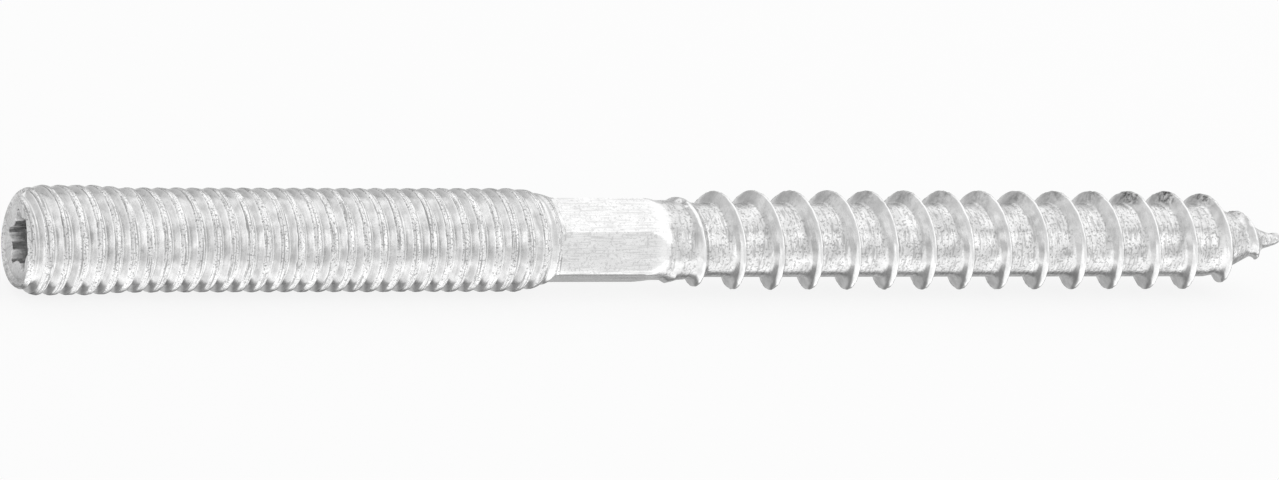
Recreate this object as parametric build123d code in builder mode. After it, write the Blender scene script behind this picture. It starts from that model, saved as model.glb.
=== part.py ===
"""Hanger bolt: a metric thread at one end, a wood thread with a gimlet point at the other.

It is one piece of steel wire, headed, pressed and rolled cold, and then plated. It lies on its
side: the axis is X, the point looks along +X, and +Z is up. The origin is the middle of the
drive face, at the metric end. Angles round the axis are in degrees from +Y towards +Z, and both
threads are right-handed. Sizes are in millimetres.
"""
from build123d import *
from math import atan2, cos, degrees, radians, sin, tan
import os

# Metric stretch: the crest line of the thread, thicker over the first turns
METRIC_CREST_D = 5.77
METRIC_FULL_END = 30.0
METRIC_RUNOUT = 1.0
SWOLLEN_D = 6.06
SWOLLEN_START = 0.9
SWOLLEN_END = 4.2
SWOLLEN_BLEND = 1.8

# Drive end: a flat face inside a lip that winds round it like the start of a thread and widens
LIP_START_D = 5.1
LIP_END_D = 5.76
LIP_BORE_D = 4.7
LIP_HEIGHT = 0.85
LIP_RISE = 1.1

# Six-lobe socket, across its lobes and across its waist
SOCKET_LOBES_D = 3.45
SOCKET_WAIST_D = 2.42
SOCKET_LOBE_R = 0.28
SOCKET_DEPTH = 2.2
SOCKET_POINT_ANGLE = 130.0
SOCKET_TURN = 57.0
LOBES = 6

# Plain wire between the threads, with six flats pressed into it
WIRE_D = 5.04
HEX_ACROSS_FLATS = 4.4
HEX_START = 32.2
HEX_END = 39.0
HEX_START_RAMP = 0.7
HEX_END_RAMP = 1.4
HEX_TURN = 0.0
FLATS = 6

# Round neck between the flats and the wood thread
NECK_D = 4.59
NECK_START = 38.7
NECK_END = 40.0
NECK_BLEND = 0.8

# Wood thread: its core, its ridge and how many turns each stretch of the ridge has
CORE_D = 4.16
WOOD_CREST_D = 5.6
WOOD_PITCH = 2.4
WOOD_START = 39.8
RUN_IN_TURNS = 1
FULL_TURNS = 12
SHOULDER_TURNS = 1
POINT_TURNS = 1.3
SHOULDER_DROP = 0.15
RIDGE_CREST_WIDTH = 0.18
RIDGE_WAIST_WIDTH = 0.62
RIDGE_FOOT_WIDTH = 1.2
RIDGE_SINK = 0.2

# Gimlet point: a cone, then a slim needle with a blunt end
POINT_START = 73.6
NEEDLE_START = 77.3
NEEDLE_D = 0.9
TIP_X = 78.34
TIP_D = 0.26
LAST_CREST_D = 2.4

# Where a helix about the axis starts
HELIX_START_ANGLE = 90.0

os.makedirs("parts", exist_ok=True)


def outward(angle):
    """The direction square to the axis at an angle round it."""
    return Vector(0, cos(radians(angle)), sin(radians(angle)))


def helix_section(x, radius):
    """The plane where a helix starts: its x runs outwards and its y along the axis."""
    out = outward(HELIX_START_ANGLE)
    return Plane(origin=Vector(x, 0, 0) + out * radius, x_dir=out, z_dir=out.cross(Vector(-1, 0, 0)))


def axis_helix(x, turns, pitch, radius, end_radius):
    """A right-handed helix about the axis, on a cylinder or, if its radius changes, on a cone."""
    cone = degrees(atan2(end_radius - radius, turns * pitch))
    Helix(
        pitch=pitch * cos(radians(cone)),
        height=turns * pitch,
        radius=radius,
        center=(x, 0, 0),
        direction=(1, 0, 0),
        cone_angle=cone,
    )


def wood_ridge(x, turns, crest_radius, end_crest_radius):
    """One stretch of the wood thread's ridge, whose hollow flanks run on down into the core."""
    depth = (WOOD_CREST_D - CORE_D) / 2
    spread = (RIDGE_FOOT_WIDTH - RIDGE_WAIST_WIDTH) / (depth / 2)
    sunk_width = RIDGE_FOOT_WIDTH + spread * RIDGE_SINK
    half_profile = [
        (0, RIDGE_CREST_WIDTH / 2),
        (-depth / 2, RIDGE_WAIST_WIDTH / 2),
        (-depth - RIDGE_SINK, sunk_width / 2),
    ]
    far_half = [(out, -along) for out, along in reversed(half_profile)]
    with BuildLine() as path:
        axis_helix(x, turns, WOOD_PITCH, crest_radius, end_crest_radius)
    with BuildSketch(helix_section(x, crest_radius)) as section:
        with BuildLine():
            Polyline(*half_profile, *far_half, close=True)
        make_face()
    sweep(sections=section.sketch, path=path.line, is_frenet=True)


def six_lobe_outline():
    """The socket's outline: round lobes and hollow waists that touch without a corner."""
    lobe_centre = SOCKET_LOBES_D / 2 - SOCKET_LOBE_R
    waist = SOCKET_WAIST_D / 2
    half_step = radians(180 / LOBES)
    squares = lobe_centre**2 + waist**2 - SOCKET_LOBE_R**2 - 2 * lobe_centre * waist * cos(half_step)
    waist_r = squares / (2 * (SOCKET_LOBE_R - waist + lobe_centre * cos(half_step)))
    lobe = Vector(lobe_centre, 0)
    hollow = Vector(waist + waist_r, 0).rotate(Axis.Z, degrees(half_step))
    touch = lobe + (hollow - lobe).normalized() * SOCKET_LOBE_R
    for index in range(LOBES):
        turn = index * 360 / LOBES
        start = Vector(touch.X, -touch.Y).rotate(Axis.Z, turn)
        tip = Vector(SOCKET_LOBES_D / 2, 0).rotate(Axis.Z, turn)
        end = touch.rotate(Axis.Z, turn)
        inner = Vector(waist, 0).rotate(Axis.Z, turn + degrees(half_step))
        following = Vector(touch.X, -touch.Y).rotate(Axis.Z, turn + 360 / LOBES)
        ThreePointArc(start, tip, end)
        ThreePointArc(end, inner, following)


with BuildPart() as hanger_bolt:
    # The turned outline of the whole bolt, without flats, socket and ridge
    with BuildSketch(Plane.XZ):
        with BuildLine():
            Polyline(
                (-LIP_HEIGHT, 0),
                (-LIP_HEIGHT, LIP_START_D / 2),
                (LIP_RISE - LIP_HEIGHT, LIP_END_D / 2),
                (SWOLLEN_START, SWOLLEN_D / 2),
                (SWOLLEN_END, SWOLLEN_D / 2),
                (SWOLLEN_END + SWOLLEN_BLEND, METRIC_CREST_D / 2),
                (METRIC_FULL_END, METRIC_CREST_D / 2),
                (METRIC_FULL_END + METRIC_RUNOUT, WIRE_D / 2),
                (NECK_START - (WIRE_D - NECK_D) / 2, WIRE_D / 2),
                (NECK_START, NECK_D / 2),
                (NECK_END, NECK_D / 2),
                (NECK_END + NECK_BLEND, CORE_D / 2),
                (POINT_START, CORE_D / 2),
                (NEEDLE_START, NEEDLE_D / 2),
                (TIP_X, TIP_D / 2),
                (TIP_X, 0),
                close=True,
            )
        make_face()
    revolve(axis=Axis.X)

    # The end is cut back along one turn of a helix, which leaves the lip's spiral edge
    with BuildLine() as lip_edge:
        axis_helix(-LIP_HEIGHT, 1, LIP_RISE, LIP_END_D / 2, LIP_END_D / 2)
    with BuildSketch(helix_section(-LIP_HEIGHT, LIP_END_D / 2)) as lip_cutter:
        Rectangle(LIP_END_D / 2, LIP_RISE + LIP_HEIGHT, align=(Align.CENTER, Align.MIN))
    sweep(sections=lip_cutter.sketch, path=lip_edge.line, is_frenet=True, mode=Mode.SUBTRACT)

    # The bore inside the lip, down to the drive face
    with BuildSketch(Plane.YZ.offset(-LIP_HEIGHT)):
        Circle(LIP_BORE_D / 2)
    extrude(amount=LIP_HEIGHT, mode=Mode.SUBTRACT)

    # The socket and the cone that the punch leaves at its bottom
    socket_plane = Plane(origin=(0, 0, 0), x_dir=outward(SOCKET_TURN), z_dir=(1, 0, 0))
    with BuildSketch(socket_plane):
        with BuildLine():
            six_lobe_outline()
        make_face()
    extrude(amount=SOCKET_DEPTH, mode=Mode.SUBTRACT)
    with BuildSketch(Plane.XZ):
        with BuildLine():
            Polyline(
                (SOCKET_DEPTH, 0),
                (SOCKET_DEPTH, SOCKET_WAIST_D / 2),
                (SOCKET_DEPTH + SOCKET_WAIST_D / 2 / tan(radians(SOCKET_POINT_ANGLE / 2)), 0),
                close=True,
            )
        make_face()
    revolve(axis=Axis.X, mode=Mode.SUBTRACT)

    # The six flats, which rise to the round wire in a curve at each end
    for flat in range(FLATS):
        facing = outward(HEX_TURN + flat * 360 / FLATS)
        with BuildSketch(Plane(origin=(0, 0, 0), x_dir=(1, 0, 0), z_dir=Vector(1, 0, 0).cross(facing))):
            with BuildLine():
                floor = Line(
                    (HEX_START + HEX_START_RAMP, HEX_ACROSS_FLATS / 2),
                    (HEX_END - HEX_END_RAMP, HEX_ACROSS_FLATS / 2),
                )
                left = TangentArc(floor @ 0, (HEX_START, WIRE_D / 2), tangent=(-1, 0))
                right = TangentArc(floor @ 1, (HEX_END, WIRE_D / 2), tangent=(1, 0))
                Polyline(left @ 1, (HEX_START, WIRE_D), (HEX_END, WIRE_D), right @ 1)
            make_face()
        extrude(amount=WIRE_D / 2, both=True, mode=Mode.SUBTRACT)

    # The wood thread: it rises out of the neck, runs full, then narrows on to the point
    run_in_end = WOOD_START + RUN_IN_TURNS * WOOD_PITCH
    full_end = run_in_end + FULL_TURNS * WOOD_PITCH
    shoulder_end = full_end + SHOULDER_TURNS * WOOD_PITCH
    shoulder_crest = WOOD_CREST_D / 2 - SHOULDER_DROP
    wood_ridge(WOOD_START, RUN_IN_TURNS, CORE_D / 2, WOOD_CREST_D / 2)
    wood_ridge(run_in_end, FULL_TURNS, WOOD_CREST_D / 2, WOOD_CREST_D / 2)
    wood_ridge(full_end, SHOULDER_TURNS, WOOD_CREST_D / 2, shoulder_crest)
    wood_ridge(shoulder_end, POINT_TURNS, shoulder_crest, LAST_CREST_D / 2)

hanger_bolt.part.label = "hanger_bolt"
export_step(hanger_bolt.part, "parts/hanger_bolt.step")
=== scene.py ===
"""Looks of a zinc-plated hanger bolt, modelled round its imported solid.

The bolt lies along X on a pale floor: the drive end is at x = 0, the wood point looks along +X and
+Z is up. Angles round the axis are in degrees from +Y towards +Z, and both threads are right-handed.
Sizes in the classes are in millimetres, and the finished mesh is in metres.
"""
import logging
import math
from collections.abc import Callable
from dataclasses import dataclass
from enum import Enum

import bpy
import numpy as np
from mathutils import Matrix, Vector, noise


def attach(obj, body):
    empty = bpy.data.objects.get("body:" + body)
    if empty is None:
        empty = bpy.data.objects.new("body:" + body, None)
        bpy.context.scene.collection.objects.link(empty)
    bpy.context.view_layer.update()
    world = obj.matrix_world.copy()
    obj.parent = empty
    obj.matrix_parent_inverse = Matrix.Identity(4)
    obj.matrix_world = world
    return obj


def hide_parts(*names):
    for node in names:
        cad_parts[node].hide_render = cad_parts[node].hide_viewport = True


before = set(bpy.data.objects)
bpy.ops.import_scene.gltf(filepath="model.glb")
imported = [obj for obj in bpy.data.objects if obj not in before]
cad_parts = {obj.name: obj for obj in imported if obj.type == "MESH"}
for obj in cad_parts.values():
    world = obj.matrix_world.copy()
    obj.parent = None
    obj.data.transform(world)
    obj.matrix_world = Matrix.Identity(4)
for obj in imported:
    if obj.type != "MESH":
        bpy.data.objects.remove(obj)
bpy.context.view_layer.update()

MM = 0.001
BODY = "root"
NODE = "hanger_bolt"
WINDING_UV = "winding"
# The first and third attributes hold painted light: a painted highlight, and a painted dark reflection
PAINTED_HIGHLIGHT_ATTRIBUTE = "painted_highlight"
GRAIN_ATTRIBUTE = "grain"
PAINTED_REFLECTION_ATTRIBUTE = "painted_dark_reflection"

Outline = tuple[tuple[float, float], ...]

log = logging.getLogger("hanger_bolt")


class Zone(Enum):
    """The stretches of the bolt that were worked in different ways, in the order of their materials."""

    METRIC = 0
    FLATS = 1
    WOOD = 2
    PUNCHED = 3


def linear(hex_colour: str) -> tuple[float, float, float, float]:
    """Turn an sRGB hex colour into linear light.

    Args:
        hex_colour: Six hex digits with a leading hash.

    Returns:
        Red, green, blue and an alpha of 1.
    """
    channels = [int(hex_colour[i : i + 2], 16) / 255 for i in (1, 3, 5)]
    turned = [c / 12.92 if c <= 0.04045 else ((c + 0.055) / 1.055) ** 2.4 for c in channels]
    return (turned[0], turned[1], turned[2], 1.0)


def add_node(tree: bpy.types.NodeTree, kind: str, settings: dict | None = None,
             inputs: dict | None = None) -> bpy.types.Node:
    """Add one node, set it up and link it.

    Args:
        tree: The node tree that gets the node.
        kind: The node's type name.
        settings: Attribute values of the node.
        inputs: Socket name or index to a plain value or to the output socket that feeds it.

    Returns:
        The new node.
    """
    node = tree.nodes.new(kind)
    for name, value in (settings or {}).items():
        setattr(node, name, value)
    for name, value in (inputs or {}).items():
        if isinstance(value, bpy.types.NodeSocket):
            tree.links.new(value, node.inputs[name])
        else:
            node.inputs[name].default_value = value
    return node


def smooth_step(low: float, high: float, value: np.ndarray) -> np.ndarray:
    """Rise smoothly from 0 at low to 1 at high.

    Args:
        low: Where the rise starts.
        high: Where the rise ends.
        value: The places to look at.

    Returns:
        The share of the rise at each place.
    """
    share = np.clip((value - low) / (high - low), 0, 1)
    return share * share * (3 - 2 * share)


def bell(distance: np.ndarray, half_width: float) -> np.ndarray:
    """A smooth bump, 1 at its middle and near 0 past two half widths.

    Args:
        distance: Distances from the middle of the bump.
        half_width: Where the bump has dropped to about a third.

    Returns:
        The bump's height at each distance.
    """
    return np.exp(-((distance / half_width) ** 2))


def round_axis(x: np.ndarray, radius: np.ndarray | float, angle: np.ndarray) -> np.ndarray:
    """Points at a place along the axis, a radius and an angle round it.

    Args:
        x: Places along the axis.
        radius: Distances from the axis.
        angle: Angles from +Y towards +Z, in radians.

    Returns:
        The points, one a row.
    """
    return np.stack([x, radius * np.cos(angle), radius * np.sin(angle)], axis=1)


def through(points: Outline, value: np.ndarray) -> np.ndarray:
    """Follow straight runs through points.

    Args:
        points: Pairs of place and size, in rising order of place.
        value: The places to look at.

    Returns:
        The size at each place.
    """
    places, sizes = zip(*points)
    return np.interp(value, places, sizes)


def ripple(place: np.ndarray, grain: tuple[float, float, float], seed: float) -> np.ndarray:
    """Smooth random values, the same in each run.

    Args:
        place: Points in millimetres, one a row.
        grain: The size of a grain along X, Y and Z in millimetres.
        seed: Shifts the pattern, so that two uses differ.

    Returns:
        One value from about -1 to 1 for each point.
    """
    scaled = place / np.array(grain) + seed
    return np.array([noise.noise(Vector(p)) for p in scaled])


@dataclass
class MetricThread:
    """The rolled metric thread: broad crests with a fine burr along one edge, and narrow roots."""

    pitch: float = 1.0
    first_crest_x: float = 1.2456
    # Pairs of a place along the axis and a radius there: the first turns are swollen
    crest_outline: Outline = (
        (-0.85, 2.55), (0.2, 2.88), (0.8, 3.02), (4.2, 3.02), (6.0, 2.885), (29.7, 2.885),
        (30.3, 2.81), (30.7, 2.7), (31.2, 2.57), (31.5, 2.55), (31.8, 2.52),
    )
    root_outline: Outline = (
        (-0.85, 2.5), (0.5, 2.54), (4.2, 2.53), (6.0, 2.43), (29.7, 2.42), (31.2, 2.47), (31.8, 2.52),
    )
    crest_half_width: float = 0.235
    root_half_width: float = 0.035
    crown: float = 0.08
    # Beside each crest line, towards the drive end, lie a raised burr and a sunk seam
    burr_offset: float = -0.245
    burr_height: float = 0.014
    burr_half_width: float = 0.022
    seam_offset: float = -0.195
    seam_depth: float = 0.035
    seam_half_width: float = 0.028
    # They fade where the thread is lower than this
    full_height: float = 0.4

    def crest_distance(self, x: np.ndarray, turn: np.ndarray) -> np.ndarray:
        """Distance along the axis from the nearest crest line.

        Args:
            x: Place along the axis.
            turn: Share of a turn from the winding's start angle.

        Returns:
            The distance in millimetres, below 0 on the drive end's side.
        """
        along = (x - self.first_crest_x) / self.pitch - turn
        return ((along + 0.5) % 1 - 0.5) * self.pitch

    def height(self, distance: np.ndarray) -> np.ndarray:
        """Share of the thread's height beside its crest line.

        Args:
            distance: Distance from the crest line.

        Returns:
            1 on the crest line and 0 in the root.
        """
        side = np.abs(distance)
        flank_width = self.pitch / 2 - self.crest_half_width - self.root_half_width
        down = np.clip((side - self.crest_half_width) / flank_width, 0, 1)
        crown = self.crown * np.clip(side / self.crest_half_width, 0, 1) ** 2
        return (1 - crown) * (1 - down)

    def radius(self, x: np.ndarray, turn: np.ndarray) -> np.ndarray:
        """Radius of the thread's surface.

        Args:
            x: Place along the axis.
            turn: Share of a turn from the winding's start angle.

        Returns:
            The radius in millimetres.
        """
        distance = self.crest_distance(x, turn)
        crest = through(self.crest_outline, x)
        root = through(self.root_outline, x)
        full = np.clip((crest - root) / self.full_height, 0, 1)
        burr = self.burr_height * bell(distance - self.burr_offset, self.burr_half_width)
        seam = self.seam_depth * bell(distance - self.seam_offset, self.seam_half_width)
        return root + (crest - root) * self.height(distance) + full * (burr - seam)


@dataclass
class PressedShank:
    """The plain wire between the threads, with six flats pressed into it."""

    wire_radius: float = 2.52
    flat_distance: float = 2.2
    flat_start: float = 31.2
    flat_end: float = 38.9
    start_ramp: float = 0.4
    end_ramp: float = 0.5
    # How far past its ramp a flat's curve is followed, in ramp lengths
    ramp_limit: float = 4.0
    # Length over which the flats take over from the metric thread
    blend: float = 0.5
    corner_softness: float = 0.045
    flats: int = 6
    # The wire narrows to a waist before the wood thread
    outline: Outline = (
        (37.25, 2.52), (37.6, 2.46), (38.1, 2.3), (38.5, 2.21), (39.3, 2.19), (40.0, 2.2), (40.7, 2.08),
    )

    def flat_depth(self, x: np.ndarray) -> np.ndarray:
        """Distance of the flats from the axis, with curved ends that rise to the round wire.

        Args:
            x: Place along the axis.

        Returns:
            The distance in millimetres.
        """
        rise = self.wire_radius - self.flat_distance
        start = np.clip((self.flat_start + self.start_ramp - x) / self.start_ramp, 0, self.ramp_limit)
        end = np.clip((x - self.flat_end + self.end_ramp) / self.end_ramp, 0, self.ramp_limit)
        return self.flat_distance + rise * (start**2 + end**2)

    def radius(self, x: np.ndarray, angle: np.ndarray) -> np.ndarray:
        """Radius of the wire with its flats and of the neck behind it.

        Args:
            x: Place along the axis.
            angle: Degrees round the axis.

        Returns:
            The radius in millimetres.
        """
        step = 360 / self.flats
        off = np.radians((angle + step / 2) % step - step / 2)
        round_wire = through(self.outline, x)
        flat = self.flat_depth(x) / np.cos(off)
        soft = self.corner_softness
        return -soft * np.logaddexp(-round_wire / soft, -flat / soft)


@dataclass
class WoodThread:
    """The coarse wood thread, its core and its gimlet point."""

    pitch: float = 2.4
    start_x: float = 39.8
    # The faint turn before it, on the neck, is closer wound
    start_pitch: float = 1.26
    core_outline: Outline = (
        (40.0, 2.24), (40.7, 2.08), (73.4, 2.08), (73.9, 1.98), (74.9, 1.6), (76.3, 0.95),
        (77.2, 0.52), (77.95, 0.32), (78.25, 0.22), (78.34, 0.14),
    )
    crest_outline: Outline = (
        (38.7, 2.2), (39.1, 2.43), (39.8, 2.42), (40.8, 2.6), (42.1, 2.76), (45.0, 2.8), (72.2, 2.8),
        (73.5, 2.62), (74.3, 2.5), (75.1, 1.95), (76.0, 1.5), (76.8, 1.12), (77.4, 0.4),
    )
    crest_half_width: float = 0.08
    foot_half_width: float = 0.5
    # A flank is straight at 1 and hollow above
    hollow: float = 1.35

    def crest_distance(self, x: np.ndarray, turn: np.ndarray) -> np.ndarray:
        """Distance along the axis from the nearest crest line.

        Args:
            x: Place along the axis.
            turn: Share of a turn from the winding's start angle.

        Returns:
            The distance in millimetres, below 0 on the drive end's side.
        """
        along = (x - self.start_x) / self.pitch - turn
        full = ((along + 0.5) % 1 - 0.5) * self.pitch
        first = x - self.start_x - self.start_pitch * (turn - 1)
        return np.where(x < self.start_x, first, full)

    def radius(self, x: np.ndarray, turn: np.ndarray) -> np.ndarray:
        """Radius of the core or of the ridge on it, whichever stands out.

        Args:
            x: Place along the axis.
            turn: Share of a turn from the winding's start angle.

        Returns:
            The radius in millimetres.
        """
        side = np.abs(self.crest_distance(x, turn))
        core = through(self.core_outline, x)
        crest = np.maximum(through(self.crest_outline, x), core)
        flank_width = self.foot_half_width - self.crest_half_width
        down = np.clip((side - self.crest_half_width) / flank_width, 0, 1)
        return core + (crest - core) * (1 - down) ** self.hollow

    def raised(self, x: np.ndarray, radius: np.ndarray, rise: float) -> np.ndarray:
        """How far a point stands out of the core.

        Args:
            x: Place along the axis.
            radius: Radius of the skin there.
            rise: Height over the core that counts as all the way out.

        Returns:
            0 on the core, 1 at that height and above.
        """
        return np.clip((radius - through(self.core_outline, x)) / rise, 0, 1)


@dataclass
class DriveEnd:
    """The punched end: a shallow dish and a six-lobe socket inside a lip that winds like the thread."""

    # Degrees from the winding's start to the lip's edge: its place along the axis and its radius
    rim: Outline = (
        (0, -0.62), (15, -0.68), (70, -0.76), (131, -0.42), (160, -0.25), (250, -0.1), (345, 0.22),
        (350, 0.2), (360, -0.62),
    )
    rim_radius: Outline = ((0, 2.55), (160, 2.63), (250, 2.78), (340, 2.88), (350, 2.88), (360, 2.55))
    # Rows this close to the edge are laid on it
    rim_snap: float = 0.02
    # Distances from the edge between which the thread takes over from the lip
    rim_blend: tuple[float, float] = (0.05, 0.35)
    # How much the outer corner is rounded off, and over what length
    rim_drop: tuple[float, float] = (0.06, 0.09)
    edge_round: float = 0.04
    # Rings of the dish: the share of the way inwards that each goes, and of the lip's height left there
    dish: Outline = ((0.16, 0.85), (0.25, 0.45), (0.1, 0.12))
    face_x: float = -0.1
    face_radius: float = 1.9
    # The punched finish lies within this radius and depth
    zone_radius: float = 2.42
    zone_depth: float = 3.2
    lobes: int = 6
    lobe_angle: float = 57.0
    lobes_radius: float = 1.725
    waist_radius: float = 1.21
    lobe_round: float = 0.28
    socket_depth: float = 2.2
    punch_angle: float = 130.0

    def rim_x(self, turned: np.ndarray) -> np.ndarray:
        """How far along the axis the lip's edge lies, at degrees from the winding's start."""
        return through(self.rim, turned)

    def socket_radius(self, angle: np.ndarray) -> np.ndarray:
        """Radius of the six-lobe outline: round lobes and hollow waists that touch.

        Args:
            angle: Degrees round the axis from the middle of a lobe.

        Returns:
            The radius in millimetres.
        """
        lobe_centre = self.lobes_radius - self.lobe_round
        half_step = math.radians(180 / self.lobes)
        across = lobe_centre * math.cos(half_step)
        waist = self.waist_radius
        squares = lobe_centre**2 + waist**2 - self.lobe_round**2 - 2 * across * waist
        hollow_round = squares / (2 * (self.lobe_round - waist + across))
        step = 2 * half_step
        from_lobe = np.abs((np.radians(angle) + half_step) % step - half_step)
        from_waist = half_step - from_lobe
        inside = np.clip(self.lobe_round**2 - (lobe_centre * np.sin(from_lobe)) ** 2, 0, None)
        on_lobe = lobe_centre * np.cos(from_lobe) + np.sqrt(inside)
        hollow_centre = waist + hollow_round
        reach = np.clip(hollow_round**2 - (hollow_centre * np.sin(from_waist)) ** 2, 0, None)
        on_hollow = hollow_centre * np.cos(from_waist) - np.sqrt(reach)
        lobe_share = self.lobe_round / (self.lobe_round + hollow_round)
        touch_up = lobe_share * hollow_centre * math.sin(half_step)
        touch_out = lobe_centre + lobe_share * (hollow_centre * math.cos(half_step) - lobe_centre)
        return np.where(from_lobe < math.atan2(touch_up, touch_out), on_lobe, on_hollow)


@dataclass(frozen=True)
class ZincFinish:
    """Bright zinc plating over cold-worked steel, as one way of working left it.

    The real grain and die marks are a few hundredths of a millimetre or finer, too fine to show
    from here, so they are drawn several times as coarse. Each height is a depth in millimetres, and
    each share says how dark its marks are, up to 1.
    """

    name: str
    bright: str
    dull: str
    dark: str
    roughness: float
    streak_mm: tuple[float, float]
    streak_height: float
    streak_share: float
    grit_mm: float
    grit_height: float
    speck_share: float
    mottle_mm: float = 0.9
    mottle_height: float = 0.02
    roughness_spread: float = 0.06
    # Colours of the painted highlight on crests, burr and pressed ramp, and of the painted dark reflection,
    # with the size of its blots
    painted_highlight: str = "#fdfdfd"
    painted_dark_reflection: str = "#5c5c5c"
    dark_reflection_mm: float = 0.35
    # Noise values between which the plating turns bright, or a streak, speck or blot of painted dark
    # reflection comes in
    cloud_band: tuple[float, float] = (0.35, 0.65)
    streak_band: tuple[float, float] = (0.52, 0.64)
    speck_band: tuple[float, float] = (0.53, 0.63)
    dark_reflection_band: tuple[float, float] = (0.42, 0.62)

    def make(self) -> bpy.types.Material:
        """Build the material.

        Returns:
            The finished material.
        """
        material = bpy.data.materials.new(self.name)
        material.use_nodes = True
        tree = material.node_tree
        tree.nodes.clear()
        place = add_node(tree, "ShaderNodeTexCoord")
        winding = add_node(tree, "ShaderNodeUVMap", {"uv_map": WINDING_UV})
        stretched = add_node(tree, "ShaderNodeMapping", {"vector_type": "POINT"}, {
            "Vector": winding.outputs["UV"],
            "Scale": (1 / self.streak_mm[0], 1 / self.streak_mm[1], 1),
        })
        streaks = add_node(tree, "ShaderNodeTexNoise", {"noise_dimensions": "2D"}, {
            "Vector": stretched.outputs["Vector"], "Scale": 1.0, "Detail": 3.0, "Roughness": 0.6})
        grit = add_node(tree, "ShaderNodeTexNoise", {"noise_dimensions": "3D"}, {
            "Vector": place.outputs["Object"], "Scale": 1 / (self.grit_mm * MM), "Detail": 2.0,
            "Roughness": 0.6})
        mottle = add_node(tree, "ShaderNodeTexNoise", {"noise_dimensions": "3D"}, {
            "Vector": place.outputs["Object"], "Scale": 1 / (self.mottle_mm * MM), "Detail": 2.0})
        cloudy = add_node(tree, "ShaderNodeMapRange", {}, {
            "Value": mottle.outputs["Fac"], "From Min": self.cloud_band[0], "From Max": self.cloud_band[1]})
        plate = add_node(tree, "ShaderNodeMix", {"data_type": "RGBA"}, {
            "Factor": cloudy.outputs["Result"], 6: linear(self.dull), 7: linear(self.bright)})
        lines = add_node(tree, "ShaderNodeMapRange", {}, {
            "Value": streaks.outputs["Fac"], "From Min": self.streak_band[0],
            "From Max": self.streak_band[1], "To Max": self.streak_share})
        specks = add_node(tree, "ShaderNodeMapRange", {}, {
            "Value": grit.outputs["Fac"], "From Min": self.speck_band[0],
            "From Max": self.speck_band[1], "To Max": self.speck_share})
        marks = add_node(tree, "ShaderNodeMath", {"operation": "MAXIMUM"}, {
            0: lines.outputs["Result"], 1: specks.outputs["Result"]})
        grain = add_node(tree, "ShaderNodeAttribute", {"attribute_name": GRAIN_ATTRIBUTE})
        grime = add_node(tree, "ShaderNodeMath", {"operation": "MULTIPLY"}, {
            0: marks.outputs[0], 1: grain.outputs["Fac"]})
        marked = add_node(tree, "ShaderNodeMix", {"data_type": "RGBA"}, {
            "Factor": grime.outputs[0], 6: plate.outputs[2], 7: linear(self.dark)})
        # Painted highlight: a near-white colour where the attribute says so
        highlight_share = add_node(tree, "ShaderNodeAttribute", {"attribute_name": PAINTED_HIGHLIGHT_ATTRIBUTE})
        colour = add_node(tree, "ShaderNodeMix", {"data_type": "RGBA"}, {
            "Factor": highlight_share.outputs["Fac"], 6: marked.outputs[2], 7: linear(self.painted_highlight)})
        # Painted dark reflection: grey blots, broken up by noise, where the attribute says so
        blots = add_node(tree, "ShaderNodeTexNoise", {"noise_dimensions": "3D"}, {
            "Vector": place.outputs["Object"], "Scale": 1 / (self.dark_reflection_mm * MM), "Detail": 3.0,
            "Roughness": 0.7})
        blotted = add_node(tree, "ShaderNodeMapRange", {}, {
            "Value": blots.outputs["Fac"], "From Min": self.dark_reflection_band[0], "From Max": self.dark_reflection_band[1]})
        dark_reflection_share = add_node(tree, "ShaderNodeAttribute", {"attribute_name": PAINTED_REFLECTION_ATTRIBUTE})
        painted_reflection_mask = add_node(tree, "ShaderNodeMath", {"operation": "MULTIPLY"}, {
            0: blotted.outputs["Result"], 1: dark_reflection_share.outputs["Fac"]})
        finished = add_node(tree, "ShaderNodeMix", {"data_type": "RGBA"}, {
            "Factor": painted_reflection_mask.outputs[0], 6: colour.outputs[2], 7: linear(self.painted_dark_reflection)})
        gloss = add_node(tree, "ShaderNodeMapRange", {}, {
            "Value": grime.outputs[0], "To Min": self.roughness,
            "To Max": self.roughness + self.roughness_spread})
        mottle_bump = add_node(tree, "ShaderNodeBump", {}, {
            "Height": mottle.outputs["Fac"], "Strength": 1.0, "Distance": self.mottle_height * MM})
        streak_bump = add_node(tree, "ShaderNodeBump", {}, {
            "Height": streaks.outputs["Fac"], "Strength": grain.outputs["Fac"],
            "Distance": self.streak_height * MM,
            "Normal": mottle_bump.outputs["Normal"]})
        grit_bump = add_node(tree, "ShaderNodeBump", {"invert": True}, {
            "Height": grit.outputs["Fac"], "Strength": grain.outputs["Fac"],
            "Distance": self.grit_height * MM,
            "Normal": streak_bump.outputs["Normal"]})
        shader = add_node(tree, "ShaderNodeBsdfPrincipled", {}, {
            "Base Color": finished.outputs[2], "Metallic": 1.0, "Roughness": gloss.outputs["Result"],
            "Normal": grit_bump.outputs["Normal"]})
        add_node(tree, "ShaderNodeOutputMaterial", {}, {"Surface": shader.outputs["BSDF"]})
        return material


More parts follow.
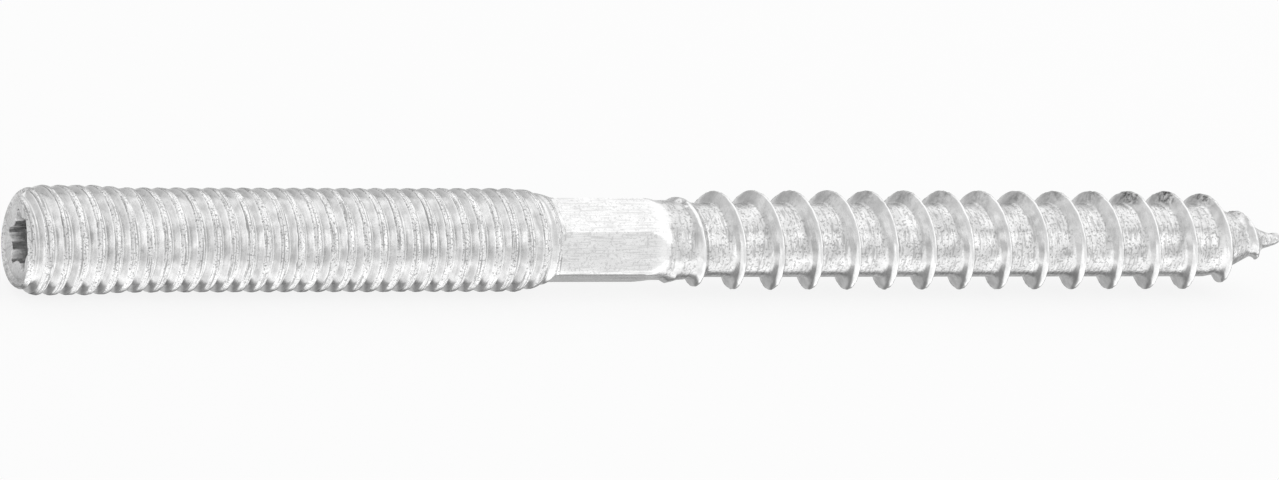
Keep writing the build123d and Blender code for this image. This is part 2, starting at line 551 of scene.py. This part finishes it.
FINISHES = {
    # Rolled between dies: fine dark streaks wind with the thread, over an even grain
    Zone.METRIC: ZincFinish(
        name="rolled_zinc_metric", bright="#f6f6f6", dull="#e0e0e0", dark="#7c7c7c", roughness=0.18,
        streak_mm=(2.2, 0.08), streak_height=0.014, streak_share=0.7,
        grit_mm=0.11, grit_height=0.015, speck_share=0.7,
    ),
    # Pressed between jaws: flat, nearly white faces with fine scratches along the bolt
    Zone.FLATS: ZincFinish(
        name="pressed_zinc_flats", bright="#f5f5f5", dull="#eaeaea", dark="#bababa", roughness=0.22,
        streak_mm=(0.1, 2.5), streak_height=0.006, streak_share=0.45,
        grit_mm=0.14, grit_height=0.009, speck_share=0.5, mottle_height=0.008,
    ),
    # Rolled deep for wood: a rough, speckled core between smooth flanks
    Zone.WOOD: ZincFinish(
        name="rolled_zinc_wood", bright="#f0f0f0", dull="#d4d4d4", dark="#7c7c7c", roughness=0.18,
        streak_mm=(1.2, 0.16), streak_height=0.008, streak_share=0.45,
        grit_mm=0.14, grit_height=0.013, speck_share=0.6, mottle_height=0.01,
    ),
    # Punched cold: grey and evenly grained, with fine drag lines down the socket
    Zone.PUNCHED: ZincFinish(
        name="punched_zinc_socket", bright="#f0f0f0", dull="#e2e2e2", dark="#a0a0a0", roughness=0.34,
        streak_mm=(0.12, 2.0), streak_height=0.01, streak_share=0.35,
        grit_mm=0.11, grit_height=0.014, speck_share=0.5,
    ),
}


@dataclass(frozen=True)
class Marks:
    """Dents and grain that rolling and handling left on the bolt, and painted highlights and painted dark
    reflections, all on top of its finishes.
    """

    # The smooth flanks have this share of the grain, from this height over the core
    flank_grain: float = 0.2
    grain_rise: float = 0.12
    # Dents on the crests: their size along X, Y and Z, and the highest bump as a share of their depth
    dent_grain: tuple[float, float, float] = (0.4, 0.3, 0.3)
    dent_seed: float = 3.7
    dent_limit: float = 0.2
    metric_dent: float = 0.035
    metric_reach: tuple[float, float] = (0.5, 30.75)
    wood_dent: float = 0.06
    wood_reach: float = 0.12
    # Painted highlights on the burr, the wood crests and the pressed ramp: how bright each is, and half the
    # width of its line or band
    burr_highlight: tuple[float, float] = (0.8, 0.035)
    crest_highlight: tuple[float, float] = (0.75, 0.075)
    crest_rise: float = 0.3
    press_highlight: tuple[float, float] = (0.7, 0.4)
    press_x: float = 37.95
    # Painted dark reflection in blots: degrees from the top of the bolt and to each side, and their
    # strength along the axis
    dark_reflection_turn: float = -10.0
    dark_reflection_spread: float = 19.0
    dark_reflection_growth: Outline = (
        (44.0, 0.0), (50.0, 0.45), (66.0, 0.5), (68.0, 1.4), (75.0, 1.4), (78.3, 0.7),
    )
    # Height over the core at which they are whole, and how far past the crest line they reach
    dark_reflection_rise: float = 0.25
    dark_reflection_side: float = 0.02


@dataclass
class HangerBolt:
    """The whole bolt, wound as one closed skin whose rows follow its threads."""

    metric: MetricThread
    shank: PressedShank
    wood: WoodThread
    drive: DriveEnd
    marks: Marks
    columns: int = 96
    start_angle: float = 90.0
    # Rows of a turn, by distance from the crest line
    metric_rows: tuple[float, ...] = (
        -0.3, -0.268, -0.243, -0.218, -0.19, -0.162, -0.12, 0.0,
        0.12, 0.2, 0.25, 0.36, 0.465, 0.535, 0.61, 0.655,
    )
    wood_rows: tuple[float, ...] = (
        -0.1, -0.04, 0.04, 0.1, 0.18, 0.27, 0.37, 0.48,
        0.62, 0.9, 1.3, 1.7, 1.85, 1.97, 2.09, 2.2,
    )
    # Wound turns to the first metric crest, to the end of its pitch and to the start of the wood pitch
    first_crest_turn: int = 2
    metric_end_turn: float = 33.3
    wood_start_turn: int = 37
    first_row: int = -19
    # Each of two subdivisions cuts an edge into this many pieces
    row_cuts: int = 30
    tip_x: float = 78.34
    tip_gap: float = 0.0005
    first_weld: float = 0.004
    last_weld: float = 0.002
    smooth_angle: float = 40.0
    metric_zone_end: float = 31.75
    flats_zone_end: float = 38.4

    def along(self, turns: np.ndarray) -> np.ndarray:
        """Place along the axis after a number of wound turns: one pitch a turn on each thread.

        Args:
            turns: Wound turns.

        Returns:
            The place in millimetres.
        """
        metric_x = self.metric.first_crest_x + (turns - self.first_crest_turn) * self.metric.pitch
        wood_x = self.wood.start_x + (turns - self.wood_start_turn) * self.wood.pitch
        span = self.wood_start_turn - self.metric_end_turn
        share = np.clip((turns - self.metric_end_turn) / span, 0, 1)
        metric_turns = self.metric_end_turn - self.first_crest_turn
        start = self.metric.first_crest_x + metric_turns * self.metric.pitch
        leave = self.metric.pitch * span * (share**3 - 2 * share**2 + share)
        arrive = self.wood.pitch * span * (share**3 - share**2)
        travel = (self.wood.start_x - start) * (3 * share**2 - 2 * share**3)
        between = start + travel + leave + arrive
        front = np.where(turns < self.metric_end_turn, metric_x, between)
        return np.where(turns > self.wood_start_turn, wood_x, front)

    def wound_turns(self, row: np.ndarray, column: np.ndarray) -> np.ndarray:
        """Wound turns at a row and column: rows crowd where a thread's outline turns sharply.

        Args:
            row: Row numbers.
            column: Column numbers.

        Returns:
            Wound turns.
        """
        per_turn = len(self.metric_rows)
        lap = np.floor_divide(row, per_turn)
        within = np.mod(row, per_turn)
        turned = column / self.columns
        change = smooth_step(self.metric_end_turn, self.wood_start_turn, lap + turned)
        metric_share = np.array(self.metric_rows)[within] / self.metric.pitch
        wood_share = np.array(self.wood_rows)[within] / self.wood.pitch
        return lap + turned + metric_share * (1 - change) + wood_share * change

    def surface(self, x: np.ndarray, turn: np.ndarray) -> np.ndarray:
        """Radius of the bolt's skin.

        Args:
            x: Place along the axis.
            turn: Share of a turn from the start angle.

        Returns:
            The radius in millimetres.
        """
        metric = self.metric.radius(x, turn)
        shank = self.shank.radius(x, self.start_angle + turn * 360)
        late = smooth_step(self.shank.flat_start, self.shank.flat_start + self.shank.blend, x)
        front = metric * (1 - late) + np.minimum(metric, shank) * late
        neck = np.where(x < self.shank.outline[-1][0], shank, 0)
        back = np.maximum(neck, self.wood.radius(x, turn))
        radius = np.where(x < (self.shank.flat_start + self.shank.flat_end) / 2, front, back)
        from_rim = x - self.drive.rim_x(turn * 360)
        rim = through(self.drive.rim_radius, turn * 360)
        near = 1 - smooth_step(*self.drive.rim_blend, from_rim)
        drop, reach = self.drive.rim_drop
        return radius * (1 - near) + rim * near - drop * np.clip(1 - from_rim / reach, 0, 1) ** 2

    def build(self) -> bpy.types.Object:
        """Wind the skin, close both ends and dress it.

        Returns:
            The finished piece.
        """
        piece, row_order = self._wind()
        self._shape(piece, row_order)
        self._close_drive(piece)
        self._close_point(piece)
        self._clean(piece)
        self._dress(piece)
        return piece

    def _wind(self) -> tuple[bpy.types.Object, np.ndarray]:
        """Cut one edge of a plane into rows and wind it round the axis with a Screw modifier.

        Returns:
            The wound sheet, and the row that each vertex of a column belongs to.
        """
        length = self.row_cuts**2 * MM
        bpy.ops.object.select_all(action="DESELECT")
        bpy.ops.mesh.primitive_plane_add(size=length, location=(length / 2, 0, 0))
        piece = bpy.context.active_object
        piece.name = "hanger_bolt_skin"
        bpy.ops.object.transform_apply(location=True, rotation=True, scale=True)
        self._select(piece, [v.co.y > 0 for v in piece.data.vertices])
        bpy.ops.mesh.delete(type="VERT")
        bpy.ops.mesh.select_all(action="SELECT")
        bpy.ops.transform.translate(value=(0, length / 2, self.shank.wire_radius * MM))
        bpy.ops.mesh.subdivide(number_cuts=self.row_cuts - 1)
        bpy.ops.mesh.subdivide(number_cuts=self.row_cuts - 1)
        bpy.ops.object.mode_set(mode="OBJECT")
        row_order = np.array([round(v.co.x / MM) for v in piece.data.vertices])
        screw = piece.modifiers.new("wind", "SCREW")
        screw.axis = "X"
        screw.angle = 2 * math.pi
        screw.screw_offset = len(self.metric_rows) * MM
        screw.steps = screw.render_steps = self.columns
        screw.use_merge_vertices = False
        bpy.ops.object.modifier_apply(modifier=screw.name)
        return piece, row_order

    def _shape(self, piece: bpy.types.Object, row_order: np.ndarray) -> None:
        """Draw the wound sheet out to the bolt's true form, and lay its pattern along the threads.

        Args:
            piece: The wound sheet.
            row_order: The row that each vertex of a column belongs to.
        """
        mesh = piece.data
        number = np.arange(len(mesh.vertices))
        column = number // len(row_order)
        row = row_order[number % len(row_order)] + self.first_row
        turns = self.wound_turns(row, column)
        turned = np.mod(column, self.columns) / self.columns
        rim = self.drive.rim_x(turned * 360)
        x = np.clip(self.along(turns), rim, self.tip_x)
        x = np.where(x < rim + self.drive.rim_snap, rim, x)
        radius = self.surface(x, turned) + self._dents(x, turned)
        place = round_axis(x, radius, np.radians(self.start_angle + turned * 360))
        mesh.vertices.foreach_set("co", (place * MM).astype(np.float32).ravel())
        self._lay_pattern(mesh, row, column, turns)
        # The first and third attributes hold painted light: highlights, and dark blots that stand for a
        # reflection
        self._store(mesh, PAINTED_HIGHLIGHT_ATTRIBUTE, self._painted_highlights(x, turned, radius))
        self._store(mesh, GRAIN_ATTRIBUTE, self._grain(x, turned, radius))
        self._store(mesh, PAINTED_REFLECTION_ATTRIBUTE, self._painted_dark_reflections(x, turned, radius))
        mesh.update()

    def _store(self, mesh: bpy.types.Mesh, name: str, values: np.ndarray) -> None:
        """Keep one value for each vertex as an attribute that the materials read.

        Args:
            mesh: The skin's mesh.
            name: The attribute's name.
            values: One value for each vertex.
        """
        attribute = mesh.attributes.new(name, "FLOAT", "POINT")
        attribute.data.foreach_set("value", values.astype(np.float32))

    def _dents(self, x: np.ndarray, turned: np.ndarray) -> np.ndarray:
        """Small dents and bumps that rolling left on the crests.

        Args:
            x: Place along the axis of each vertex.
            turned: Share of a turn from the start angle.

        Returns:
            The change of radius in millimetres.
        """
        marks = self.marks
        place = round_axis(x, self.shank.wire_radius, turned * 2 * math.pi)
        dents = np.minimum(ripple(place, marks.dent_grain, marks.dent_seed), marks.dent_limit)
        first, last = marks.metric_reach
        on_metric = np.abs(self.metric.crest_distance(x, turned)) < self.metric.crest_half_width
        on_metric &= (x > first) & (x < last)
        on_wood = (np.abs(self.wood.crest_distance(x, turned)) < marks.wood_reach) & (x > self.wood.start_x)
        return np.where(on_metric, marks.metric_dent, np.where(on_wood, marks.wood_dent, 0)) * dents

    def _painted_dark_reflections(self, x: np.ndarray, turned: np.ndarray, radius: np.ndarray) -> np.ndarray:
        """Painted dark reflection in blots on the drive end's side of the wood thread's ridge, near the
        top.

        Args:
            x: Place along the axis of each vertex.
            turned: Share of a turn from the start angle.
            radius: Radius of the skin there.

        Returns:
            The share of blots at each vertex.
        """
        marks = self.marks
        from_middle = (turned * 360 - marks.dark_reflection_turn + 180) % 360 - 180
        near_side = self.wood.crest_distance(x, turned) < marks.dark_reflection_side
        flank = self.wood.raised(x, radius, marks.dark_reflection_rise) * near_side * (x > self.wood.start_x)
        strength = bell(from_middle, marks.dark_reflection_spread) * through(marks.dark_reflection_growth, x)
        return np.clip(flank * strength, 0, 1)

    def _grain(self, x: np.ndarray, turned: np.ndarray, radius: np.ndarray) -> np.ndarray:
        """Rough grain: full on crests, flats and core, and little on the flanks.

        Args:
            x: Place along the axis of each vertex.
            turned: Share of a turn from the start angle.
            radius: Radius of the skin there.

        Returns:
            The share of grain at each vertex.
        """
        smooth = self.marks.flank_grain
        on_crest = np.abs(self.metric.crest_distance(x, turned)) < self.metric.crest_half_width
        metric = np.where(on_crest, 1.0, smooth)
        wood = 1 - (1 - smooth) * self.wood.raised(x, radius, self.marks.grain_rise)
        behind = np.where(x < self.flats_zone_end, 1.0, wood)
        return np.where(x < self.metric_zone_end, metric, behind)

    def _painted_highlights(self, x: np.ndarray, turned: np.ndarray, radius: np.ndarray) -> np.ndarray:
        """Painted highlights on the burr, on the crests and where the jaws' ends pressed.

        Args:
            x: Place along the axis of each vertex.
            turned: Share of a turn from the start angle.
            radius: Radius of the skin there.

        Returns:
            The share of painted highlight at each vertex.
        """
        marks = self.marks
        from_burr = self.metric.crest_distance(x, turned) - self.metric.burr_offset
        burr = marks.burr_highlight[0] * bell(from_burr, marks.burr_highlight[1]) * (x < marks.metric_reach[1])
        on_line = bell(self.wood.crest_distance(x, turned), marks.crest_highlight[1])
        on_ridge = self.wood.raised(x, radius, marks.crest_rise) * (x > self.flats_zone_end)
        # Painted highlight on the pressed ramp
        ramp_highlight = marks.press_highlight[0] * bell(x - marks.press_x, marks.press_highlight[1])
        return np.clip(marks.crest_highlight[0] * on_line * on_ridge + burr + ramp_highlight, 0, 1)

    def _lay_pattern(self, mesh: bpy.types.Mesh, row: np.ndarray, column: np.ndarray,
                     turns: np.ndarray) -> None:
        """Give each face a place in millimetres along and across the thread that it lies on.

        Args:
            mesh: The skin's mesh.
            row: The row of each vertex.
            column: The column of each vertex.
            turns: Wound turns of each vertex.
        """
        corners = np.zeros(len(mesh.loops), np.int32)
        mesh.loops.foreach_get("vertex_index", corners)
        corners = corners.reshape(-1, 4)
        per_turn = len(self.metric_rows)
        lap = np.floor_divide(row[corners].min(axis=1), per_turn)[:, None]
        along = (lap + column[corners] / self.columns) * 2 * math.pi * self.shank.wire_radius
        across = self.along(turns[corners]) - column[corners] / self.columns * self.metric.pitch
        layer = mesh.uv_layers.new(name=WINDING_UV)
        flat = np.stack([along, across], axis=2).astype(np.float32).ravel()
        layer.data.foreach_set("uv", flat)

    def _select(self, piece: bpy.types.Object, chosen: list[bool]) -> None:
        """Select some vertices alone, and go on in edit mode.

        Args:
            piece: The piece to edit.
            chosen: One answer for each vertex.
        """
        bpy.ops.object.mode_set(mode="EDIT")
        bpy.ops.mesh.select_mode(type="VERT")
        bpy.ops.mesh.select_all(action="DESELECT")
        bpy.ops.object.mode_set(mode="OBJECT")
        piece.data.vertices.foreach_set("select", np.array(chosen, bool))
        bpy.ops.object.mode_set(mode="EDIT")

    def _merge(self, gap: float) -> None:
        """Merge doubles and drop faces without area in edit mode, and leave nothing selected.

        Args:
            gap: Distance in millimetres within which vertices are merged.
        """
        bpy.ops.mesh.select_all(action="SELECT")
        bpy.ops.mesh.remove_doubles(threshold=gap * MM)
        bpy.ops.mesh.dissolve_degenerate(threshold=gap * MM / 4)
        bpy.ops.mesh.select_all(action="DESELECT")

    def _next_ring(self, piece: bpy.types.Object, along: Callable[[float], float],
                   radius: Callable[[float, float], float]) -> None:
        """Extrude the selected ring and set the new one at its place.

        Args:
            piece: The piece in edit mode.
            along: Gives the new place along the axis from the old one.
            radius: Gives the new radius from the angle in degrees and the old radius.
        """
        bpy.ops.mesh.extrude_edges_move()
        bpy.ops.object.mode_set(mode="OBJECT")
        for vertex in piece.data.vertices:
            if vertex.select:
                angle = math.atan2(vertex.co.z, vertex.co.y)
                old = math.hypot(vertex.co.y, vertex.co.z) / MM
                new = float(radius(math.degrees(angle), old)) * MM
                x = along(vertex.co.x / MM) * MM
                vertex.co = (x, new * math.cos(angle), new * math.sin(angle))
        bpy.ops.object.mode_set(mode="EDIT")

    def _close_drive(self, piece: bpy.types.Object) -> None:
        """Turn the lip in, lay the drive face and sink the socket, ring by ring.

        Args:
            piece: The shaped skin, open at both ends.
        """
        drive = self.drive
        bpy.ops.object.mode_set(mode="EDIT")
        self._merge(self.first_weld)
        bpy.ops.mesh.select_mode(type="EDGE")
        bpy.ops.mesh.select_non_manifold(extend=False, use_boundary=True, use_wire=False,
                                         use_multi_face=False, use_non_contiguous=False)
        bpy.ops.object.mode_set(mode="OBJECT")
        middle = self.tip_x / 2 * MM
        chosen = [v.select and v.co.x < middle for v in piece.data.vertices]
        self._select(piece, chosen)
        bpy.ops.mesh.select_mode(type="EDGE")
        self._next_ring(piece, lambda x: x, lambda angle, old: old - drive.edge_round)
        height = 1.0
        for inwards, left in drive.dish:
            self._next_ring(piece, lambda x: x * left / height,
                            lambda angle, old: old - inwards * (old - drive.face_radius))
            height = left
        self._next_ring(piece, lambda x: drive.face_x, lambda angle, old: drive.face_radius)
        self._next_ring(piece, lambda x: drive.face_x,
                        lambda angle, old: drive.socket_radius(angle - drive.lobe_angle) + drive.edge_round)
        self._next_ring(piece, lambda x: drive.face_x + drive.edge_round,
                        lambda angle, old: drive.socket_radius(angle - drive.lobe_angle))
        self._next_ring(piece, lambda x: drive.socket_depth / 2, lambda angle, old: old)
        self._next_ring(piece, lambda x: drive.socket_depth, lambda angle, old: old)
        cone = drive.waist_radius / math.tan(math.radians(drive.punch_angle / 2))
        self._next_ring(piece, lambda x: drive.socket_depth + cone / 2,
                        lambda angle, old: drive.waist_radius / 2)
        bpy.ops.mesh.extrude_edges_move(TRANSFORM_OT_translate={"value": (cone / 2 * MM, 0, 0)})
        bpy.ops.mesh.merge(type="COLLAPSE")
        bpy.ops.object.mode_set(mode="OBJECT")

    def _close_point(self, piece: bpy.types.Object) -> None:
        """Close the blunt end of the needle.

        Args:
            piece: The skin, open at the point.
        """
        near_tip = (self.tip_x - self.tip_gap) * MM
        self._select(piece, [v.co.x > near_tip for v in piece.data.vertices])
        bpy.ops.mesh.select_mode(type="EDGE")
        bpy.ops.mesh.extrude_edges_move()
        bpy.ops.mesh.merge(type="COLLAPSE")
        bpy.ops.object.mode_set(mode="OBJECT")

    def _clean(self, piece: bpy.types.Object) -> None:
        """Merge doubles, turn all faces outwards and smooth what is round.

        Args:
            piece: The skin, closed at both ends.
        """
        bpy.ops.object.mode_set(mode="EDIT")
        self._merge(self.last_weld)
        bpy.ops.mesh.select_all(action="SELECT")
        bpy.ops.mesh.normals_make_consistent(inside=False)
        bpy.ops.object.mode_set(mode="OBJECT")
        bpy.ops.object.shade_smooth_by_angle(angle=math.radians(self.smooth_angle))

    def _zone_at(self, x: float, away: float) -> Zone:
        """Which way of working left its finish at a place.

        Args:
            x: Place along the axis.
            away: Distance from the axis.

        Returns:
            The zone.
        """
        if x < self.drive.zone_depth and away < self.drive.zone_radius:
            return Zone.PUNCHED
        if x < self.metric_zone_end:
            return Zone.METRIC
        if x < self.flats_zone_end:
            return Zone.FLATS
        return Zone.WOOD

    def _dress(self, piece: bpy.types.Object) -> None:
        """Give each zone its finish.

        Args:
            piece: The closed skin.
        """
        mesh = piece.data
        for zone in Zone:
            mesh.materials.append(FINISHES[zone].make())
        for face in mesh.polygons:
            away = math.hypot(face.center.y, face.center.z) / MM
            face.material_index = self._zone_at(face.center.x / MM, away).value


@dataclass(frozen=True)
class SoftBox:
    """One soft light, placed and sized in metres. Its radiance adds to the room's, where 1 is white."""

    name: str
    place: tuple[float, float, float]
    aim: tuple[float, float, float]
    size: tuple[float, float]
    radiance: float
    watts_per_radiance: float = 4.0

    def hang(self) -> None:
        """Hang the light at its place, where the camera doesn't see it."""
        lamp = bpy.data.lights.new(self.name, "AREA")
        lamp.shape = "RECTANGLE"
        lamp.size, lamp.size_y = self.size
        lamp.energy = self.watts_per_radiance * self.radiance * self.size[0] * self.size[1]
        holder = bpy.data.objects.new(self.name, lamp)
        holder.visible_camera = False
        bpy.context.scene.collection.objects.link(holder)
        holder.location = self.place
        away = Vector(self.place) - Vector(self.aim)
        holder.rotation_euler = away.to_track_quat("Z", "Y").to_euler()


SOFT_BOXES = (
    SoftBox("top_softbox", (0.33, 0.06, 0.243), (0.33, 0.0, 0.0), (0.74, 0.56), 0.2),
    SoftBox("right_softbox", (0.45, -0.40, 0.14), (0.016, 0.0, 0.0), (0.34, 0.5), 0.34),
)


@dataclass
class Studio:
    """The white board that the bolt lies on, the pale room round it and the camera."""

    floor_z: float = -3.03
    # The board's width in metres
    floor_size: float = 6.0
    board_colour: str = "#f0f0f0"
    # The camera sees this share of the board as it is lit, with its shadow, and the rest plain white
    shadow_share: float = 0.15
    aim_x: float = 37.47
    swing: float = 26.0
    tilt: float = 20.0
    # Pixels in a millimetre of the bolt at the aim, and the share lost with each millimetre further on
    axial_scale: float = 16.058
    fall_off: float = 6.83e-4
    frame_width: int = 1279
    sensor: float = 36.0
    clip: tuple[float, float] = (0.01, 20.0)
    # The board as the metal sees it, with painted light and shade: pairs of a distance behind the bolt's
    # axis and a shade. A painted bright strip lies in front, a painted shadow of the bolt lies under it,
    # and it is grey behind
    board_reach: float = 12.0
    board_painted_shading: Outline = (
        (-12.0, 0.92), (-6.5, 0.92), (-5.0, 1.24), (-1.7, 1.24), (-1.2, 0.36), (-0.75, 0.26),
        (-0.35, 0.56), (0.9, 0.46), (3.0, 0.76), (12.0, 0.76),
    )
    # The ramp holds each shade divided by this, so that all of them lie below 1
    shade_scale: float = 2.0
    # How bright the metal sees the room in front, at the drive end and, as a share, behind
    room_front: float = 0.9
    room_end: float = 0.77
    room_back: float = 0.62
    # Between these X and Y of a direction it changes from one to the other
    end_band: tuple[float, float] = (-0.4, 0.1)
    back_band: tuple[float, float] = (0.55, 0.95)

    def build(self) -> None:
        """Make the floor, the world, the lights and the camera."""
        self._floor()
        self._world()
        for box in SOFT_BOXES:
            box.hang()
        self._camera()

    def _floor(self) -> None:
        """A wide sheet of white board: plain white to the camera, and to the metal above it shaded with
        painted light and a painted shadow of the bolt.
        """
        bpy.ops.object.select_all(action="DESELECT")
        bpy.ops.mesh.primitive_plane_add(size=self.floor_size, location=(0, 0, self.floor_z * MM))
        floor = bpy.context.active_object
        floor.name = "white_board"
        material = bpy.data.materials.new("matt_white_board")
        material.use_nodes = True
        tree = material.node_tree
        tree.nodes.clear()
        path = add_node(tree, "ShaderNodeLightPath")
        place = add_node(tree, "ShaderNodeTexCoord")
        axes = add_node(tree, "ShaderNodeSeparateXYZ", {}, {"Vector": place.outputs["Object"]})
        across = add_node(tree, "ShaderNodeMapRange", {}, {
            "Value": axes.outputs["Y"], "From Min": -self.board_reach * MM,
            "From Max": self.board_reach * MM})
        ramp = add_node(tree, "ShaderNodeValToRGB", {}, {"Fac": across.outputs["Result"]})
        stops = ramp.color_ramp.elements
        stops.remove(stops[-1])
        for index, (y, shade) in enumerate(self.board_painted_shading):
            share = (y / self.board_reach + 1) / 2
            stop = stops.new(share) if index else stops[0]
            stop.position = share
            grey = shade / self.shade_scale
            stop.color = (grey, grey, grey, 1)
        shiny = add_node(tree, "ShaderNodeMath", {"operation": "MAXIMUM"}, {
            0: path.outputs["Is Glossy Ray"], 1: path.outputs["Is Transmission Ray"]})
        board = add_node(tree, "ShaderNodeBsdfDiffuse", {}, {"Color": linear(self.board_colour)})
        white = add_node(tree, "ShaderNodeEmission", {}, {"Color": (1, 1, 1, 1), "Strength": 1.0})
        # Painted light and shade on the board, which only the metal's reflections see
        painted_board = add_node(tree, "ShaderNodeEmission", {}, {
            "Color": ramp.outputs["Color"], "Strength": self.shade_scale})
        share = add_node(tree, "ShaderNodeMath", {"operation": "MULTIPLY"}, {
            0: path.outputs["Is Camera Ray"], 1: 1 - self.shadow_share})
        seen = add_node(tree, "ShaderNodeMixShader", {}, {
            0: share.outputs[0], 1: board.outputs[0], 2: white.outputs[0]})
        mixed = add_node(tree, "ShaderNodeMixShader", {}, {
            0: shiny.outputs[0], 1: seen.outputs[0], 2: painted_board.outputs[0]})
        add_node(tree, "ShaderNodeOutputMaterial", {}, {"Surface": mixed.outputs[0]})
        floor.data.materials.append(material)

    def _world(self) -> None:
        """A pale room: white to the camera, and greyer to the metal at the drive end and behind."""
        world = bpy.data.worlds.new("pale_room")
        bpy.context.scene.world = world
        world.use_nodes = True
        tree = world.node_tree
        tree.nodes.clear()
        path = add_node(tree, "ShaderNodeLightPath")
        look = add_node(tree, "ShaderNodeTexCoord")
        axes = add_node(tree, "ShaderNodeSeparateXYZ", {}, {"Vector": look.outputs["Generated"]})
        wall = add_node(tree, "ShaderNodeMapRange", {}, {
            "Value": axes.outputs["X"], "From Min": self.end_band[0], "From Max": self.end_band[1],
            "To Min": self.room_end, "To Max": self.room_front})
        behind = add_node(tree, "ShaderNodeMapRange", {}, {
            "Value": axes.outputs["Y"], "From Min": self.back_band[0], "From Max": self.back_band[1],
            "To Min": 1.0, "To Max": self.room_back})
        walls = add_node(tree, "ShaderNodeMath", {"operation": "MULTIPLY"}, {
            0: wall.outputs["Result"], 1: behind.outputs["Result"]})
        room = add_node(tree, "ShaderNodeMix", {"data_type": "FLOAT"}, {
            "Factor": path.outputs["Is Camera Ray"], 2: walls.outputs[0], 3: 1.0})
        sky = add_node(tree, "ShaderNodeBackground", {}, {
            "Color": (1, 1, 1, 1), "Strength": room.outputs[0]})
        add_node(tree, "ShaderNodeOutputWorld", {}, {"Surface": sky.outputs[0]})

    def _camera(self) -> None:
        """Look down on the bolt from the drive end's side, through a long lens."""
        swing, tilt = math.radians(self.swing), math.radians(self.tilt)
        level = math.cos(swing)
        back = Vector((-math.sin(swing), -level * math.cos(tilt), level * math.sin(tilt)))
        up = Vector((0, math.sin(tilt), math.cos(tilt)))
        distance = math.sin(swing) / self.fall_off * MM
        pixels_a_mm = self.axial_scale / math.cos(swing)
        camera = bpy.data.cameras.new("camera")
        camera.sensor_width = self.sensor
        camera.lens = self.sensor * pixels_a_mm / MM * distance / self.frame_width
        camera.clip_start, camera.clip_end = self.clip
        holder = bpy.data.objects.new("camera", camera)
        bpy.context.scene.collection.objects.link(holder)
        turn = Matrix((up.cross(back), up, back)).transposed()
        place = Vector((self.aim_x * MM, 0, 0)) + back * distance
        holder.matrix_world = Matrix.Translation(place) @ turn.to_4x4()
        bpy.context.scene.camera = holder


def main() -> None:
    """Build the bolt and its stage."""
    logging.basicConfig(level=logging.INFO, format="%(name)s: %(message)s")
    bpy.context.scene.view_settings.view_transform = "Standard"
    Studio().build()
    bolt = HangerBolt(MetricThread(), PressedShank(), WoodThread(), DriveEnd(), Marks())
    piece = bolt.build()
    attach(piece, BODY)
    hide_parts(NODE)
    faces = piece.data.polygons
    open_edges = len(piece.data.edges) * 2 - sum(len(face.vertices) for face in faces)
    log.info("%s: %d faces, %d edges short of closed", piece.name, len(faces), open_edges)


if __name__ == "__main__":
    main()
